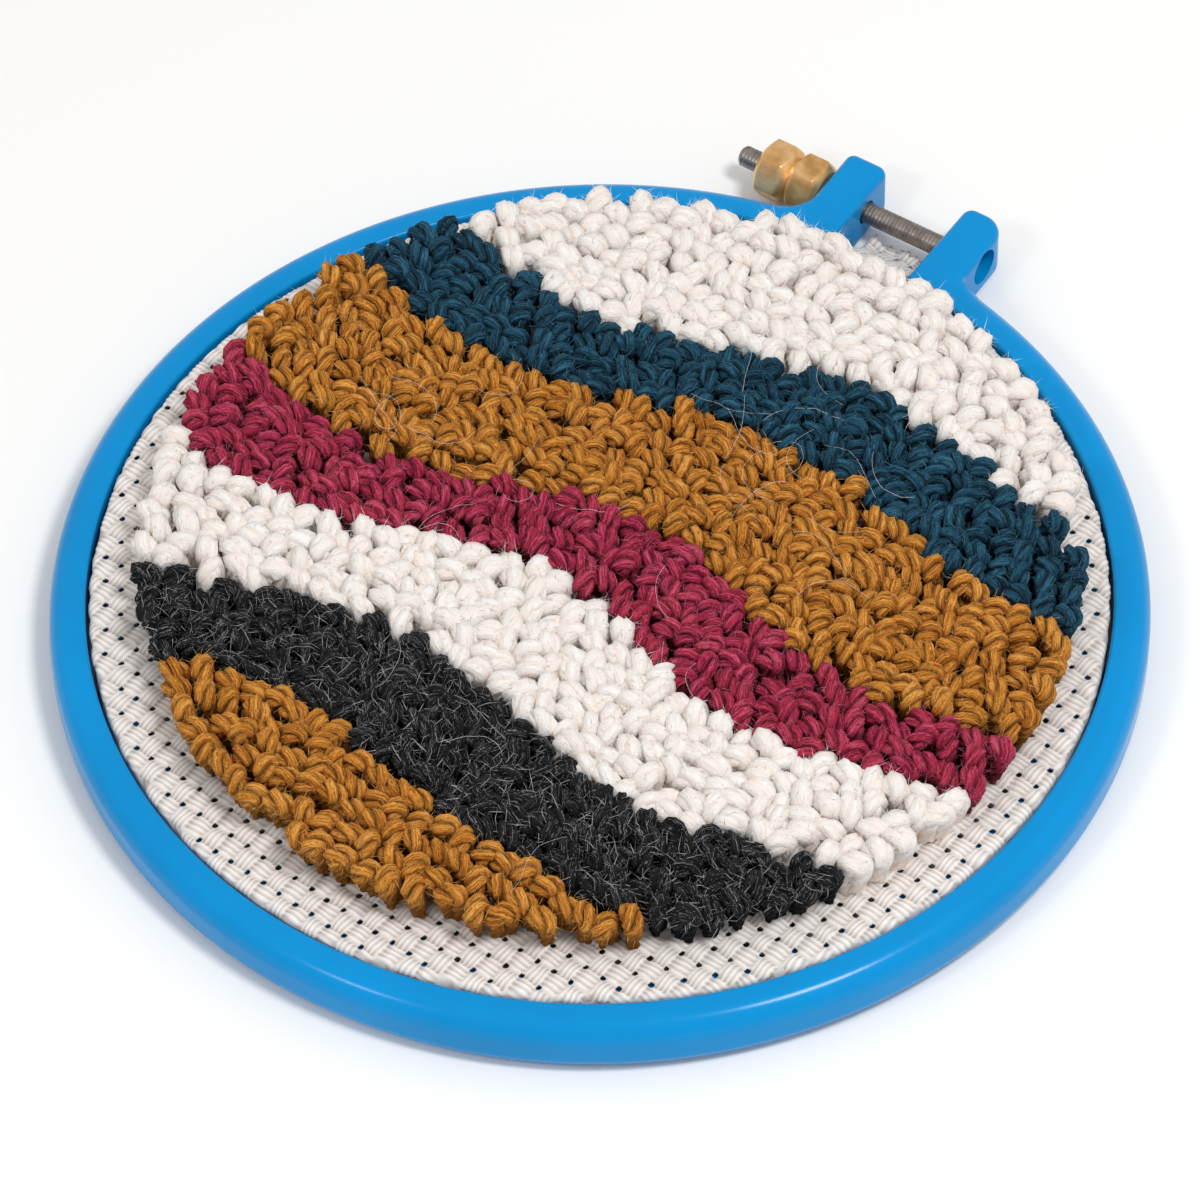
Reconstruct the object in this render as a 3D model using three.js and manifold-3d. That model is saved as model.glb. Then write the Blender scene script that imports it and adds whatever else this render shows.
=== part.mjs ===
// Punch needle wall piece in its embroidery hoop, lying on its back.
// Millimetres, +Z up. The origin is the middle of the whole piece at the height of its underside,
// and the clamp of the hoop is on the +Y side. Plan sizes below are measured from the hoop's centre.

import * as THREE from 'three';
import { mergeVertices } from 'three/addons/utils/BufferGeometryUtils.js';
import Module from 'manifold-3d';

const wasm = await Module();
wasm.setup();

// Outer ring of the hoop
const ringInner = 75;
const ringWidth = 5.5;
const ringOuter = ringInner + ringWidth;
const ringHeight = 9.2;
const ringTopEdge = 3.4; // rounding of the outer top edge
const ringBottomEdge = 3.0; // rounding of the outer bottom edge
const wallEdge = 0.5; // rounding of the edges beside the cloth
const ringSteps = 84; // steps round a full circle
const edgeSteps = 3; // steps in each rounded edge

// Clamp lugs, one on each side of the split
const splitHalf = 6.95;
const lugWidth = 7.1;
const lugReach = 92.6;
const lugEdge = 1.0;
const splitCorner = 1.1;
const nearCorner = 1.8; // plan corner beside the split
const lugFoot = { nutSide: 3.5, headSide: 1.4 };
const lugFarCorner = { nutSide: 1.5, headSide: 3.6 };
const footBlend = 4.5; // run over which the lug's edge grows into the ring's edge

// Clamp screw and nut, along X
const screwReach = 85.8;
const screwHeight = 5.3;
const screwRadius = 1.7;
const screwTip = -29.4;
const tipChamfer = 0.4;
const headRadius = 2.5;
const headThickness = 1.2;
const pocketRadius = 2.9;
const pocketFloor = 10.45;
const nutFlats = 8.7; // across the flats
const nutLength = 11;
const nutChamfer = 1.1;
const nutWaistHalf = 1.3;
const nutWaistRadius = 3.5;
const nutEndDrop = 0.35; // how far the turned end lies inside the flats
const turningClear = 0.1; // how far the turning tool stays off the bar's corners
const screwSteps = 24; // steps round the screw and its holes
const nutSteps = 36; // steps round the turned ends and waist of the nut
const cutOver = 1; // how far a cut runs past what it cuts
const turnGap = 0.25; // between the screw and what turns or slides on it
const seatGap = 0.3; // between two pieces that rest on each other

// Ground cloth, stretched over the inner ring and trimmed behind it
const clothThickness = 1.0;
const clothTop = 9.0;
const clothOuter = ringInner - seatGap;
const clothBend = 1.3; // outer radius of its bend over the inner ring
const clothHem = 1.0; // height of its trimmed edge

// Inner ring, under the cloth
const innerWidth = 4.0;
const innerOuter = clothOuter - clothThickness - seatGap;
const innerTop = clothTop - clothThickness - seatGap;
const innerEdge = 0.8;

// Loop pile on the front and flat stitches on the back
const pileRadius = 66.7;
const pileShift = new THREE.Vector2(0.4, 2.2);
const pileHeight = 8.6;
const pileBulge = 1.5; // how far the rim loops lean out
const pileShoulder = 1.5; // how far the rim of the top is drawn in and down
const loopLump = 2.0; // depth of the hollows between the loops
const loopStep = 3.1; // size of the squares that carry the lumps
const hollowShare = 0.35; // how deep, at most, a high point may still lie in the lumps
const leanLeast = 0.45; // share of the bulge that every rim loop has
const stitchRadius = 66.3;
const stitchThickness = 1.8;
const stitchStep = 9;
const fieldGap = 0.34;
const capChord = 0.955; // share of the radius where the rows of an end field stop
const columnShare = { end: 1.3, inner: 1.9 }; // length of a field's rows, in radii, that sets its columns
const crossingSteps = 40; // halvings that find where a row meets the rim

// Yarn fields from the clamp end to the far end, and the waved edges between them
const fields = ['offwhite', 'navy', 'ochre', 'raspberry', 'offwhite', 'charcoal', 'ochre'];
const fieldEdges = [
  { at: 41, swing: 4.2, length: 96, phase: 0.4 },
  { at: 26, swing: 4.6, length: 90, phase: 0.9 },
  { at: 2, swing: 5.0, length: 86, phase: 1.5 },
  { at: -13, swing: 4.6, length: 84, phase: 2.0 },
  { at: -33, swing: 4.4, length: 88, phase: 2.7 },
  { at: -51, swing: 3.4, length: 92, phase: 3.2 },
];

const colours = {
  plastic: { color: 0x0090d9, roughness: 0.32, metalness: 0 },
  cloth: { color: 0xe9e2dc, roughness: 0.9, metalness: 0 },
  offwhite: { color: 0xede8e4, roughness: 0.95, metalness: 0 },
  navy: { color: 0x173b54, roughness: 0.95, metalness: 0 },
  ochre: { color: 0xc07a1e, roughness: 0.95, metalness: 0 },
  raspberry: { color: 0xa8264f, roughness: 0.95, metalness: 0 },
  charcoal: { color: 0x2d2e31, roughness: 0.95, metalness: 0 },
  brass: { color: 0xb79a5b, roughness: 0.3, metalness: 1 },
  steel: { color: 0x7a726b, roughness: 0.35, metalness: 1 },
};

const hoop = new THREE.Group();
hoop.position.y = (ringOuter - lugReach) / 2;

function place(name, geometry, colour) {
  const mesh = new THREE.Mesh(geometry, new THREE.MeshStandardMaterial(colours[colour]));
  mesh.name = name;
  hoop.add(mesh);
}

// Joining and cutting

function solidOf(geometry) {
  const bare = geometry.clone();
  bare.deleteAttribute('normal');
  bare.deleteAttribute('uv');
  const merged = mergeVertices(bare, 1e-4);
  const vertProperties = new Float32Array(merged.attributes.position.array);
  const triVerts = new Uint32Array(merged.index.array);
  return new wasm.Manifold(new wasm.Mesh({ numProp: 3, vertProperties, triVerts }));
}

function geometryOf(solid) {
  const mesh = solid.getMesh();
  const geometry = new THREE.BufferGeometry();
  geometry.setAttribute('position', new THREE.BufferAttribute(mesh.vertProperties, 3));
  geometry.setIndex(new THREE.BufferAttribute(mesh.triVerts, 1));
  return geometry;
}

function meshFrom(points, triangles) {
  const geometry = new THREE.BufferGeometry();
  geometry.setAttribute('position', new THREE.Float32BufferAttribute(points.flat(), 3));
  geometry.setIndex(triangles.flat());
  return geometry;
}

// Shapes turned about Z and about the screw's axis

function turned(profile, steps) {
  const points = profile.map(([radius, height]) => new THREE.Vector2(radius, height));
  return new THREE.LatheGeometry(points, steps).rotateX(Math.PI / 2);
}

function turnedOnScrew(profile, steps) {
  const points = profile.map(([radius, along]) => new THREE.Vector2(radius, along));
  return new THREE.LatheGeometry(points, steps)
    .rotateZ(-Math.PI / 2)
    .translate(0, screwReach, screwHeight);
}

function screwCylinder(radius, from, to, steps) {
  return turnedOnScrew([[0, from], [radius, from], [radius, to], [0, to]], steps);
}

// Quarter round in a turned profile, between two angles about its centre
function quarter(centreRadius, centreHeight, round, from, to, steps) {
  const points = [];
  for (let i = 0; i <= steps; i += 1) {
    const angle = from + ((to - from) * i) / steps;
    points.push([centreRadius + round * Math.cos(angle), centreHeight + round * Math.sin(angle)]);
  }
  return points;
}

// Outer ring: a closed plan outline, swept up with a rounded edge at every point

function edgeRounding(x, y, side) {
  const past = y > 0 ? Math.abs(x) - (splitHalf + lugWidth) : footBlend;
  const blend = THREE.MathUtils.smoothstep(past, 0, footBlend);
  if (side === 'inside') return { top: wallEdge, bottom: wallEdge };
  return {
    top: THREE.MathUtils.lerp(lugEdge, ringTopEdge, blend),
    bottom: THREE.MathUtils.lerp(lugEdge, ringBottomEdge, blend),
  };
}

// An arc of the outline; outward is 1 where the arc bulges out of the plastic and -1 where it hollows
function outlineArc(centre, radius, from, to, steps, outward, side) {
  const points = [];
  for (let i = 0; i <= steps; i += 1) {
    const angle = from + ((to - from) * i) / steps;
    const cos = Math.cos(angle);
    const sin = Math.sin(angle);
    const x = centre.x + radius * cos;
    const y = centre.y + radius * sin;
    points.push({ x, y, nx: outward * cos, ny: outward * sin, ...edgeRounding(x, y, side) });
  }
  return points;
}

// From the inside corner of the split out along the split, round the lug and down to the ring
function lugOutline(foot, farCorner) {
  const far = splitHalf + lugWidth;
  const inside = new THREE.Vector2(splitHalf + splitCorner, 0);
  inside.y = Math.sqrt((ringInner + splitCorner) ** 2 - inside.x ** 2);
  const near = new THREE.Vector2(splitHalf + nearCorner, lugReach - nearCorner);
  const outer = new THREE.Vector2(far - farCorner, lugReach - farCorner);
  const hollow = new THREE.Vector2(far + foot, 0);
  hollow.y = Math.sqrt((ringOuter + foot) ** 2 - hollow.x ** 2);
  const half = Math.PI;
  return [
    ...outlineArc(inside, splitCorner, half + inside.angle(), half, 3, 1, 'inside'),
    ...outlineArc(near, nearCorner, half, half / 2, 4, 1),
    ...outlineArc(outer, farCorner, half / 2, 0, 5, 1),
    ...outlineArc(hollow, foot, half, half + hollow.angle(), 5, -1),
  ];
}

function mirrored(points) {
  return points.map((point) => ({ ...point, x: -point.x, nx: -point.nx })).reverse();
}

function ringOutline() {
  const headLug = lugOutline(lugFoot.headSide, lugFarCorner.headSide);
  const nutLug = mirrored(lugOutline(lugFoot.nutSide, lugFarCorner.nutSide));
  const centre = new THREE.Vector2(0, 0);
  const angleOf = (point) => Math.atan2(point.y, point.x);
  const step = (2 * Math.PI) / ringSteps;
  const outerFrom = angleOf(headLug.at(-1)) - step;
  const outerTo = angleOf(nutLug[0]) - 2 * Math.PI + step;
  const innerFrom = angleOf(nutLug.at(-1)) - 2 * Math.PI + step;
  const innerTo = angleOf(headLug[0]) - step;
  const outerSteps = Math.round((outerFrom - outerTo) / step);
  const innerSteps = Math.round((innerTo - innerFrom) / step);
  const loop = [
    ...headLug,
    ...outlineArc(centre, ringOuter, outerFrom, outerTo, outerSteps, 1),
    ...nutLug,
    ...outlineArc(centre, ringInner, innerFrom, innerTo, innerSteps, -1, 'inside'),
  ];
  return loop.reverse(); // anticlockwise seen from above
}

// Heights and insets of the rounded bottom edge, then of the rounded top edge
function edgeLevels() {
  const levels = [];
  for (let i = edgeSteps; i >= 0; i -= 1) levels.push({ edge: 'bottom', turn: i / edgeSteps });
  for (let i = 0; i <= edgeSteps; i += 1) levels.push({ edge: 'top', turn: i / edgeSteps });
  return levels;
}

function levelPoint(point, { edge, turn }) {
  const round = point[edge];
  const angle = (turn * Math.PI) / 2;
  const inset = round * (1 - Math.cos(angle));
  const rise = round * (1 - Math.sin(angle));
  const z = edge === 'top' ? ringHeight - rise : rise;
  return [point.x - point.nx * inset, point.y - point.ny * inset, z];
}

function sweptRing() {
  const outline = ringOutline();
  const levels = edgeLevels();
  const count = outline.length;
  const points = levels.flatMap((level) => outline.map((point) => levelPoint(point, level)));
  const triangles = [];
  for (let k = 0; k < levels.length - 1; k += 1) {
    for (let i = 0; i < count; i += 1) {
      const a = k * count + i;
      const b = k * count + ((i + 1) % count);
      triangles.push([a, b, b + count], [a, b + count, a + count]);
    }
  }
  const topStart = (levels.length - 1) * count;
  for (const start of [0, topStart]) {
    const contour = points.slice(start, start + count).map(([x, y]) => new THREE.Vector2(x, y));
    for (const [a, b, c] of THREE.ShapeUtils.triangulateShape(contour, [])) {
      triangles.push(start === 0 ? [c, b, a] : [start + a, start + b, start + c]);
    }
  }
  return meshFrom(points, triangles);
}

function outerRing() {
  const outside = splitHalf + lugWidth + cutOver;
  const bore = solidOf(screwCylinder(screwRadius + turnGap, -outside, outside, screwSteps));
  const pocket = solidOf(screwCylinder(pocketRadius, pocketFloor, outside, screwSteps));
  return geometryOf(solidOf(sweptRing()).subtract(bore).subtract(pocket));
}

function innerRing() {
  const inside = innerOuter - innerWidth;
  const quarterTurn = Math.PI / 2;
  const corner = (radius, height, from) =>
    quarter(radius, height, innerEdge, from, from + quarterTurn, 2);
  const profile = [
    ...corner(inside + innerEdge, innerEdge, 2 * quarterTurn),
    ...corner(innerOuter - innerEdge, innerEdge, 3 * quarterTurn),
    ...corner(innerOuter - innerEdge, innerTop - innerEdge, 0),
    ...corner(inside + innerEdge, innerTop - innerEdge, quarterTurn),
  ];
  return turned([...profile, profile[0]], ringSteps);
}

function groundCloth() {
  const underside = clothTop - clothThickness;
  const bendRadius = clothOuter - clothBend;
  const bendHeight = clothTop - clothBend;
  const inBend = clothBend - clothThickness;
  const profile = [
    [0, underside],
    ...quarter(bendRadius, bendHeight, inBend, Math.PI / 2, 0, 2),
    [clothOuter - clothThickness, clothHem],
    [clothOuter, clothHem],
    ...quarter(bendRadius, bendHeight, clothBend, 0, Math.PI / 2, 4),
    [0, clothTop],
  ];
  return turned(profile, ringSteps);
}

// Yarn fields: waved bands across the stitched disc

function waveY(edge, x) {
  return edge.at + edge.swing * Math.sin((2 * Math.PI * x) / edge.length + edge.phase);
}

// The edge of a band as a function of x; the end bands have a chord there, later bowed out to the
// rim. Inward is 1 or -1: the side of the edge that the band lies on.
function bandEdge(index, radius) {
  if (index === 0) return () => radius * capChord;
  if (index === fields.length) return () => -radius * capChord;
  return (x, inward) => waveY(fieldEdges[index - 1], x) + inward * (fieldGap / 2);
}

// Where the line at this share of the way across a band leaves the disc, by halving
function rimCrossing(lineY, radius, direction) {
  let inside = 0;
  let outside = direction * radius;
  for (let i = 0; i < crossingSteps; i += 1) {
    const middle = (inside + outside) / 2;
    if (Math.hypot(middle, lineY(middle)) < radius) inside = middle;
    else outside = middle;
  }
  return inside;
}

// Rows of plan points from the lower edge of a band to its upper edge. Each is marked if it is on
// the rim, and if it may lean there: the corners beside the next band stay where they are.
function bandGrid(index, radius, size) {
  const upper = bandEdge(index, radius);
  const lower = bandEdge(index + 1, radius);
  const middleWidth = upper(0, -1) - lower(0, 1);
  const rows = Math.max(2, Math.round(middleWidth / size));
  const endBand = index === 0 || index === fields.length - 1;
  const length = (endBand ? columnShare.end : columnShare.inner) * radius;
  const columns = Math.round(length / size);
  const grid = [];
  for (let j = 0; j <= rows; j += 1) {
    const share = j / rows;
    const lineY = (x) => THREE.MathUtils.lerp(lower(x, 1), upper(x, -1), share);
    const left = rimCrossing(lineY, radius, -1);
    const right = rimCrossing(lineY, radius, 1);
    const capRow = (index === 0 && j === rows) || (index === fields.length - 1 && j === 0);
    const sharedRow = !capRow && (j === 0 || j === rows);
    const row = [];
    for (let i = 0; i <= columns; i += 1) {
      const x = THREE.MathUtils.lerp(left, right, i / columns);
      const onArc = Math.sign(lineY(x)) * Math.sqrt(Math.max(0, radius ** 2 - x ** 2));
      const rim = capRow || i === 0 || i === columns;
      row.push({ x, y: capRow ? onArc : lineY(x), rim, leans: rim && !sharedRow });
    }
    grid.push(row);
  }
  return grid;
}

// The border of a grid of points, anticlockwise, as row and column pairs
function borderOf(grid) {
  const rows = grid.length - 1;
  const columns = grid[0].length - 1;
  const border = [];
  for (let i = 0; i < columns; i += 1) border.push([0, i]);
  for (let j = 0; j < rows; j += 1) border.push([j, columns]);
  for (let i = columns; i > 0; i -= 1) border.push([rows, i]);
  for (let j = rows; j > 0; j -= 1) border.push([j, 0]);
  return border;
}

// Uneven but repeatable height between 0 and 1 for one square of the pile
function unevenness(i, j, seed) {
  const wave = Math.sin(i * 12.99 + j * 78.23 + seed * 37.7) * 437.58;
  return wave - Math.floor(wave);
}

function movedOut(point, distance) {
  const length = Math.hypot(point.x, point.y);
  const scale = (length + distance) / length;
  return [point.x * scale + pileShift.x, point.y * scale + pileShift.y];
}

// A band as a closed slab: an uneven top, a bulging rim and a flat base
function bandSlab(index, radius, size, base, top, lump, bulge, shoulder) {
  const grid = bandGrid(index, radius, size);
  const columns = grid[0].length;
  const count = grid.length * columns;
  const border = borderOf(grid);
  const points = [];
  const triangles = [];
  const topPoint = (point, i, j) => {
    const hollow = (i + j) % 2 === 0 ? unevenness(i, j, index) * hollowShare : 1;
    const drop = point.rim ? shoulder : lump * hollow;
    return [...movedOut(point, point.leans ? -shoulder : 0), top - drop];
  };
  grid.forEach((row, j) => row.forEach((point, i) => points.push(topPoint(point, i, j))));
  border.forEach(([j, i]) => {
    const point = grid[j][i];
    const share = THREE.MathUtils.lerp(leanLeast, 1, unevenness(i, j, index + fields.length));
    points.push([...movedOut(point, point.leans ? bulge * share : 0), (base + top) / 2]);
  });
  border.forEach(([j, i]) => points.push([...movedOut(grid[j][i], 0), base]));
  for (let j = 0; j < grid.length - 1; j += 1) {
    for (let i = 0; i < columns - 1; i += 1) {
      const a = j * columns + i;
      const b = a + columns;
      if ((i + j) % 2 === 0) triangles.push([a, a + 1, b], [a + 1, b + 1, b]);
      else triangles.push([a, a + 1, b + 1], [a, b + 1, b]);
    }
  }
  border.forEach(([j, i], k) => {
    const [nextJ, nextI] = border[(k + 1) % border.length];
    const high = [j * columns + i, nextJ * columns + nextI];
    const middle = [count + k, count + ((k + 1) % border.length)];
    const low = middle.map((vertex) => vertex + border.length);
    triangles.push([low[0], low[1], middle[1]], [low[0], middle[1], middle[0]]);
    triangles.push([middle[0], middle[1], high[1]], [middle[0], high[1], high[0]]);
  });
  const baseStart = count + border.length;
  const contour = points.slice(baseStart).map(([x, y]) => new THREE.Vector2(x, y));
  for (const [a, b, c] of THREE.ShapeUtils.triangulateShape(contour, [])) {
    triangles.push([baseStart + c, baseStart + b, baseStart + a]);
  }
  return meshFrom(points, triangles);
}

function pileField(index) {
  const base = clothTop + seatGap;
  const top = clothTop + pileHeight;
  return bandSlab(index, pileRadius, loopStep, base, top, loopLump, pileBulge, pileShoulder);
}

function stitchField(index) {
  const top = clothTop - clothThickness - seatGap;
  return bandSlab(index, stitchRadius, stitchStep, top - stitchThickness, top, 0, 0, 0);
}

// Clamp screw: threaded shank and a flat head sunk in the pocket of one lug

function clampScrew() {
  const headStart = pocketFloor + seatGap;
  const headEnd = headStart + headThickness;
  const profile = [
    [0, screwTip],
    [screwRadius - tipChamfer, screwTip],
    [screwRadius, screwTip + tipChamfer],
    [screwRadius, headStart],
    [headRadius, headStart],
    [headRadius, headEnd],
    [0, headEnd],
  ];
  return turnedOnScrew(profile, screwSteps);
}

// Clamp nut: six-sided bar with turned ends and a turned waist

function clampNut() {
  const corner = nutFlats / Math.sqrt(3);
  const right = -(splitHalf + lugWidth + seatGap);
  const left = right - nutLength;
  const middle = (left + right) / 2;
  const end = nutFlats / 2 - nutEndDrop - nutChamfer / 2;
  const clear = corner + turningClear;
  const bar = screwCylinder(corner, left, right, 6);
  const turning = turnedOnScrew([
    [0, left - cutOver],
    [end, left],
    [clear, left + nutChamfer],
    [clear, middle - nutWaistHalf],
    [nutWaistRadius, middle],
    [clear, middle + nutWaistHalf],
    [clear, right - nutChamfer],
    [end, right],
    [0, right + cutOver],
  ], nutSteps);
  const bore = screwCylinder(screwRadius + turnGap, left - cutOver, right + cutOver, screwSteps);
  return geometryOf(solidOf(bar).intersect(solidOf(turning)).subtract(solidOf(bore)));
}

place('outer_ring', outerRing(), 'plastic');
place('inner_ring', innerRing(), 'plastic');
place('ground_cloth', groundCloth(), 'cloth');
fields.forEach((yarn, index) => {
  place(`pile_${index + 1}_${yarn}`, pileField(index), yarn);
  place(`stitches_${index + 1}_${yarn}`, stitchField(index), yarn);
});
place('clamp_screw', clampScrew(), 'steel');
place('clamp_nut', clampNut(), 'brass');

export default hoop;
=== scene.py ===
import math
from functools import partial
import bmesh
import bpy
import numpy as np
from mathutils import Matrix, Vector


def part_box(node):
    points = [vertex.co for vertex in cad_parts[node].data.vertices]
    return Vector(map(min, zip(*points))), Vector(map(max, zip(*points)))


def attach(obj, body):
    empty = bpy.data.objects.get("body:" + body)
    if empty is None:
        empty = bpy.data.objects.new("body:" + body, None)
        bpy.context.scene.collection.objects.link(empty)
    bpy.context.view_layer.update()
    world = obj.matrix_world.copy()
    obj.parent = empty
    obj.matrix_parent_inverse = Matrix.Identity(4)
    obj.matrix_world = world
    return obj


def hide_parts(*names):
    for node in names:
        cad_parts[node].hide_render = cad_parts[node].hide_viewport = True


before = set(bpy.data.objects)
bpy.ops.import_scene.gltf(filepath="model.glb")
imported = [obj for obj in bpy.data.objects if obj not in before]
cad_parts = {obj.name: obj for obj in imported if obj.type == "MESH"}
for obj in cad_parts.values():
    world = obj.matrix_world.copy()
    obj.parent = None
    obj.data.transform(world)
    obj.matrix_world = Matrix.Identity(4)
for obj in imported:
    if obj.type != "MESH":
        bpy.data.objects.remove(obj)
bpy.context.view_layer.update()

# Punch needle piece in its hoop. Sizes are in mm, from the middle of the hoop,
# with z up from the surface it lies on. meshObject() turns them into metres.

mm = 0.001
innerLow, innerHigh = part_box("inner_ring")
hoopMiddle = Vector(((innerLow.x + innerHigh.x) / 2, (innerLow.y + innerHigh.y) / 2, 0))
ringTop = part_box("outer_ring")[1].z / mm
tiny = 1e-6  # keeps a division off zero


# Small tools

def linear(colour, gain=1.0):
    # a linear colour from an sRGB hex colour, or a grey from a plain number
    if not isinstance(colour, str):
        return [colour, colour, colour, 1.0]
    channels = [int(colour[i:i + 2], 16) / 255 for i in (1, 3, 5)]
    levels = [c / 12.92 if c <= 0.04045 else ((c + 0.055) / 1.055) ** 2.4 for c in channels]
    return [min(1.0, c * gain) for c in levels] + [1.0]


def fill(tree, node, inputs):
    # inputs by number or by name, each a value or another node's output
    for socket, value in inputs.items() if isinstance(inputs, dict) else enumerate(inputs):
        if isinstance(value, bpy.types.NodeSocket):
            tree.links.new(value, node.inputs[socket])
        else:
            node.inputs[socket].default_value = value


def addNode(tree, kind, inputs=(), output=0, **settings):
    # gives one output of the new node, or the node itself for None
    node = tree.nodes.new(kind)
    for key, value in settings.items():
        setattr(node, key, value)
    fill(tree, node, inputs)
    return node if output is None else node.outputs[output]


def newObject(name, data):
    obj = bpy.data.objects.new(name, data)
    bpy.context.scene.collection.objects.link(obj)
    return obj


def meshObject(name, points, faces, edges=()):
    mesh = bpy.data.meshes.new(name)
    placed = np.asarray(points, dtype=float) * mm + np.array(hoopMiddle)
    mesh.from_pydata(placed.tolist(), list(edges), faces)
    mesh.validate()
    return newObject(name, mesh)


def applyModifiers(obj):
    # the evaluated shape becomes the object's own plain mesh
    graph = bpy.context.evaluated_depsgraph_get()
    mesh = bpy.data.meshes.new_from_object(obj.evaluated_get(graph))
    mesh.name = obj.name
    obj.modifiers.clear()
    obj.data = mesh


def cutAway(obj, *cutters):
    for cutter in cutters:
        cut = obj.modifiers.new("cut", "BOOLEAN")
        cut.operation, cut.solver, cut.object = "DIFFERENCE", "EXACT", cutter
    applyModifiers(obj)
    for cutter in cutters:
        bpy.data.objects.remove(cutter)


def flipOutward(obj):
    work = bmesh.new()
    work.from_mesh(obj.data)
    bmesh.ops.recalc_face_normals(work, faces=work.faces)
    work.to_mesh(obj.data)
    work.free()


def dress(obj, material, sharpAngle=None):
    # one material and smooth shading, but for edges sharper than the angle
    obj.data.materials.clear()
    obj.data.materials.append(material)
    obj.data.polygons.foreach_set("use_smooth", [True] * len(obj.data.polygons))
    if sharpAngle is not None:
        obj.data.set_sharp_from_angle(angle=math.radians(sharpAngle))
    obj.data.update()


def rowFaces(rows, n, closed=False):
    # quads between rows of n points each; closed joins the last row to the first
    return [(k * n + i, k * n + (i + 1) % n, (k + 1) % rows * n + (i + 1) % n, (k + 1) % rows * n + i)
            for k in range(rows if closed else rows - 1) for i in range(n)]


def finishPiece(obj, body, slot, *nodes):
    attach(obj, body)
    if nodes:
        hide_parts(*nodes)
    print("piece", obj.name, sum(len(p.vertices) - 2 for p in obj.data.polygons), "triangles")


def smoothstep(value, low, high):
    t = np.clip((value - low) / (high - low), 0, 1)
    return t * t * (3 - 2 * t)


# Camera, as far away and as tilted as the photograph's. Angles are in degrees; across, down and
# distance are the hoop's middle as the camera sees it.

cameraView = dict(lens=210, sensor=36, elevation=51.15, turn=34.1, roll=-1.44,
                  across=-0.14, down=-2.39, distance=1021.4, nearest=50, farthest=20000)


def makeCamera():
    v = cameraView
    rise, roll, turn = (math.radians(v[k]) for k in ("elevation", "roll", "turn"))
    right = Vector((1, 0, 0))
    away = Vector((0, -math.sin(rise), math.cos(rise)))
    up = Vector((0, -math.cos(rise), -math.sin(rise)))
    tilt = Matrix.Rotation(roll, 3, "Z")
    toHoop = Matrix([tilt @ axis for axis in (right, away, up)])  # camera directions to the hoop's
    spin = Matrix.Rotation(turn, 3, "Z")
    seat = -(toHoop @ Vector((v["across"], v["down"], v["distance"])))
    place = spin @ seat + Vector((0, 0, ringTop))
    columns = [spin @ toHoop @ Vector(way) for way in ((1, 0, 0), (0, -1, 0), (0, 0, -1))]
    data = bpy.data.cameras.new("camera")
    data.lens, data.sensor_width = v["lens"], v["sensor"]
    data.clip_start, data.clip_end = v["nearest"] * mm, v["farthest"] * mm
    camera = newObject("camera", data)
    pose = Matrix(columns).transposed().to_4x4()
    pose.translation = place * mm + hoopMiddle
    camera.matrix_world = pose
    bpy.context.scene.camera = camera


makeCamera()
print("camera placed")


# Materials. Noise on Object coordinates has its scale in cycles per metre, so 1000 is 1 mm.

def newMaterial(name):
    material = bpy.data.materials.new(name)
    material.use_nodes = True
    return material, partial(addNode, material.node_tree)


def shaded(material, inputs):
    fill(material.node_tree, material.node_tree.nodes["Principled BSDF"], inputs)
    return material


def ramp(add, tone, *stops):
    node = add("ShaderNodeValToRGB", (tone,), None)
    elements = node.color_ramp.elements
    for k, (position, colour) in enumerate(stops):
        element = elements[k] if k < len(elements) else elements.new(position)
        element.position = position
        element.color = colour if isinstance(colour, list) else linear(colour)
    return node.outputs[0]


def mixed(add, share, low, high):
    # 6, 7 and 2 are the node's colour sockets
    return add("ShaderNodeMix", {0: share, 6: low, 7: high}, 2, data_type="RGBA")


def bumped(add, height, strength, depth):
    return add("ShaderNodeBump", {"Height": height, "Strength": strength, "Distance": depth * mm})


def noiseOn(add, vector, scale, detail=3.0, roughness=0.6, output="Fac"):
    # one scale for all three axes, or one for each
    perAxis = scale if isinstance(scale, tuple) else (scale, scale, scale)
    mapped = add("ShaderNodeMapping", {"Vector": vector, "Scale": perAxis})
    return add("ShaderNodeTexNoise", {"Vector": mapped, "Scale": 1.0, "Detail": detail,
                                      "Roughness": roughness}, output)


# Each yarn's colours: the painted shade of its folds and of the depth of the pile, its darker and
# its lighter tone, its palest fibres and its loose ones. Then its build: the radius of a ply, how far
# a ply lies from the yarn's middle and how long a full twist is; loose fibres per mm², their length,
# radius and number of segments; the share of pale fibres spun in, the depth of nap, the sheen, and
# how much fuller a loop's top is.
plainYarn = dict(ply=0.80, offset=0.81, twist=5.4, fuzz=0.35, fuzzLength=1.5, fuzzRadius=0.036,
                 bends=1, heather=0.0, nap=1.0, sheen=0.12, swell=0.2)
yarnSpec = {
    "offwhite": dict(plainYarn, paintedShade="#F5E2D3", deep="#EDE2D9", light="#EDE8E3", pale="#F3F0ED",
                     loose="#F8F5F3", ply=1.32, offset=0.60, twist=8.6, fuzz=0.41, fuzzLength=1.7,
                     fuzzRadius=0.040, nap=0.8, swell=0.06),
    "ochre": dict(plainYarn, paintedShade="#42200A", deep="#8A4B12", light="#D08933", pale="#E3A758",
                  loose="#E9B566"),
    "raspberry": dict(plainYarn, paintedShade="#33050F", deep="#6E1128", light="#B53350", pale="#C95A72",
                      loose="#CF7488"),
    "navy": dict(plainYarn, paintedShade="#040B11", deep="#081C28", light="#1F4A60", pale="#35687F",
                 loose="#5586A0", twist=5.6, heather=0.12, sheen=0.10),
    "charcoal": dict(plainYarn, paintedShade="#040405", deep="#070809", light="#1A1B1D", pale="#2A2B2E",
                     loose="#C6C6C9", ply=0.82, offset=0.76, twist=6.0, fuzz=0.24, fuzzLength=2.8,
                     bends=2, heather=0.36, sheen=0.03),
}


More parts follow.
